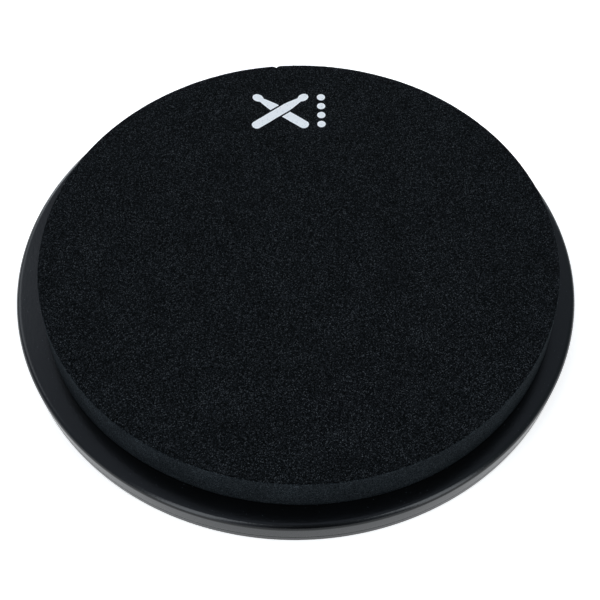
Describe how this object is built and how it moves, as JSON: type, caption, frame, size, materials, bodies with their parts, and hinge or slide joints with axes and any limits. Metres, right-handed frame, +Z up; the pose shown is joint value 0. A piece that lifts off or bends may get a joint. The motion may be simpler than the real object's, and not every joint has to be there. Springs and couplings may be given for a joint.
{
  "type": "practice pad",
  "caption": "Round drummer's practice pad: a thick black foam disc bonded to a low moulded plastic base with a rounded rim, rubber feet and a threaded stand insert underneath.",
  "frame": {"origin": "on the base's axis, on the surface that the rubber feet stand on", "axes": "+Z up out of the playing surface; +X and +Y lie in the resting plane, and the foam sits 1.7 mm off the axis along +X"},
  "size_m": [0.3048, 0.3048, 0.0389],
  "materials": {
    "foam": "fine closed-cell foam, dead matt black",
    "adhesive": "black double-sided film",
    "moulded_shell": "satin black moulded ABS",
    "fibreboard": "raw fibreboard",
    "zinc_steel": "zinc plated",
    "black_steel": "black phosphated",
    "foot_rubber": "matt moulded rubber"
  },
  "bodies": {
    "root": {"foam_playing_surface": "foam", "foam_adhesive_sheet": "adhesive", "top_shell": "moulded_shell", "core_board": "fibreboard", "bottom_cover": "moulded_shell", "thread_insert": "zinc_steel", "insert_screw_1": "zinc_steel", "insert_screw_2": "zinc_steel", "insert_screw_3": "zinc_steel", "insert_screw_4": "zinc_steel", "cover_screw_1": "black_steel", "cover_screw_2": "black_steel", "cover_screw_3": "black_steel", "cover_screw_4": "black_steel", "cover_screw_5": "black_steel", "cover_screw_6": "black_steel", "rubber_foot_1": "foot_rubber", "rubber_foot_2": "foot_rubber", "rubber_foot_3": "foot_rubber", "rubber_foot_4": "foot_rubber", "rubber_foot_5": "foot_rubber", "rubber_foot_6": "foot_rubber"}
  },
  "joints": []
}
